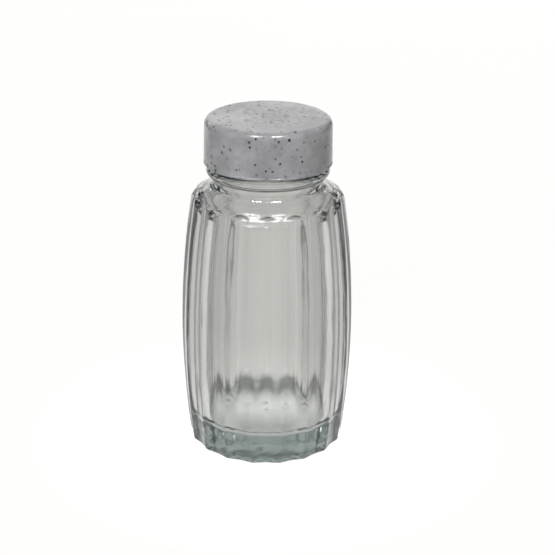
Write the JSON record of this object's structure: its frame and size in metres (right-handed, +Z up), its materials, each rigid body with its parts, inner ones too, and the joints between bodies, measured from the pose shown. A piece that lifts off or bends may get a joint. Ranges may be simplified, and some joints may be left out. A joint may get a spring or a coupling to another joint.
{
  "type": "spice shaker",
  "caption": "Clear fluted glass spice shaker with a thick base and beaded neck, closed by a speckled light grey screw cap with sprinkle holes that turns and rises on its thread.",
  "frame": {"origin": "middle of the base, on the surface that the shaker stands on", "axes": "+Z up along the jar's axis, -Y towards the viewer, +X to the viewer's right"},
  "size_m": [0.0552, 0.0544, 0.1086],
  "materials": {
    "clear_glass": "clear pressed glass with a faint grey-green tint in its thick base",
    "soft_seal": "matt off-white soft sealing ring",
    "speckled_plastic": "glossy light grey moulding with scattered dark specks"
  },
  "bodies": {
    "jar": {"glass_jar": "clear_glass"},
    "seal": {"sealing_ring": "soft_seal"},
    "cap": {"shaker_cap": "speckled_plastic"}
  },
  "joints": [
    {"name": "cap_lift", "type": "slide", "parent": "jar", "child": "seal", "axis": [0, 0, 1], "range_m": [0, 0.0053]},
    {"name": "cap_turn", "type": "hinge", "parent": "seal", "child": "cap", "pos_m": [0, 0, 0.1], "axis": [0, 0, 1], "range_deg": [0, 450]}
  ],
  "couplings": [
    {"joint": "cap_lift", "follows": "cap_turn", "m_per_rad": 0.0006737}
  ]
}
